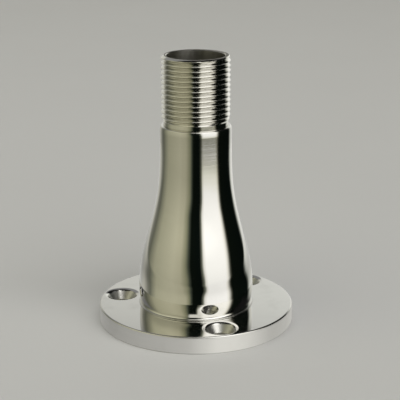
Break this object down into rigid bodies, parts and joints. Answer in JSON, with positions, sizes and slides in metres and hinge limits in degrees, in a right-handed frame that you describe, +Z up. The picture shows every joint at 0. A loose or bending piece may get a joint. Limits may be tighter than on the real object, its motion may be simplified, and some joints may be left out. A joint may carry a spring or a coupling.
{
  "type": "stanchion base",
  "caption": "Polished stainless stanchion base: round screw-down flange, hollow bell pedestal and male 1-inch 14 TPI threaded post end.",
  "frame": {"origin": "centre of the flange's underside, on the axis of the post", "axes": "+Z up the post along its axis, -Y towards the first screw hole, +X completes the right-handed frame"},
  "size_m": [0.0734, 0.0734, 0.1016],
  "materials": {
    "polished_flange_steel": "polished",
    "polished_pedestal_steel": "polished",
    "turned_thread_steel": "turned",
    "weld_metal": "as welded",
    "brazing_metal": "satin"
  },
  "bodies": {
    "root": {"flange_plate": "polished_flange_steel", "pedestal_body": "polished_pedestal_steel", "threaded_sleeve": "turned_thread_steel", "foot_weld": "weld_metal", "neck_braze_ring": "brazing_metal"}
  },
  "joints": []
}
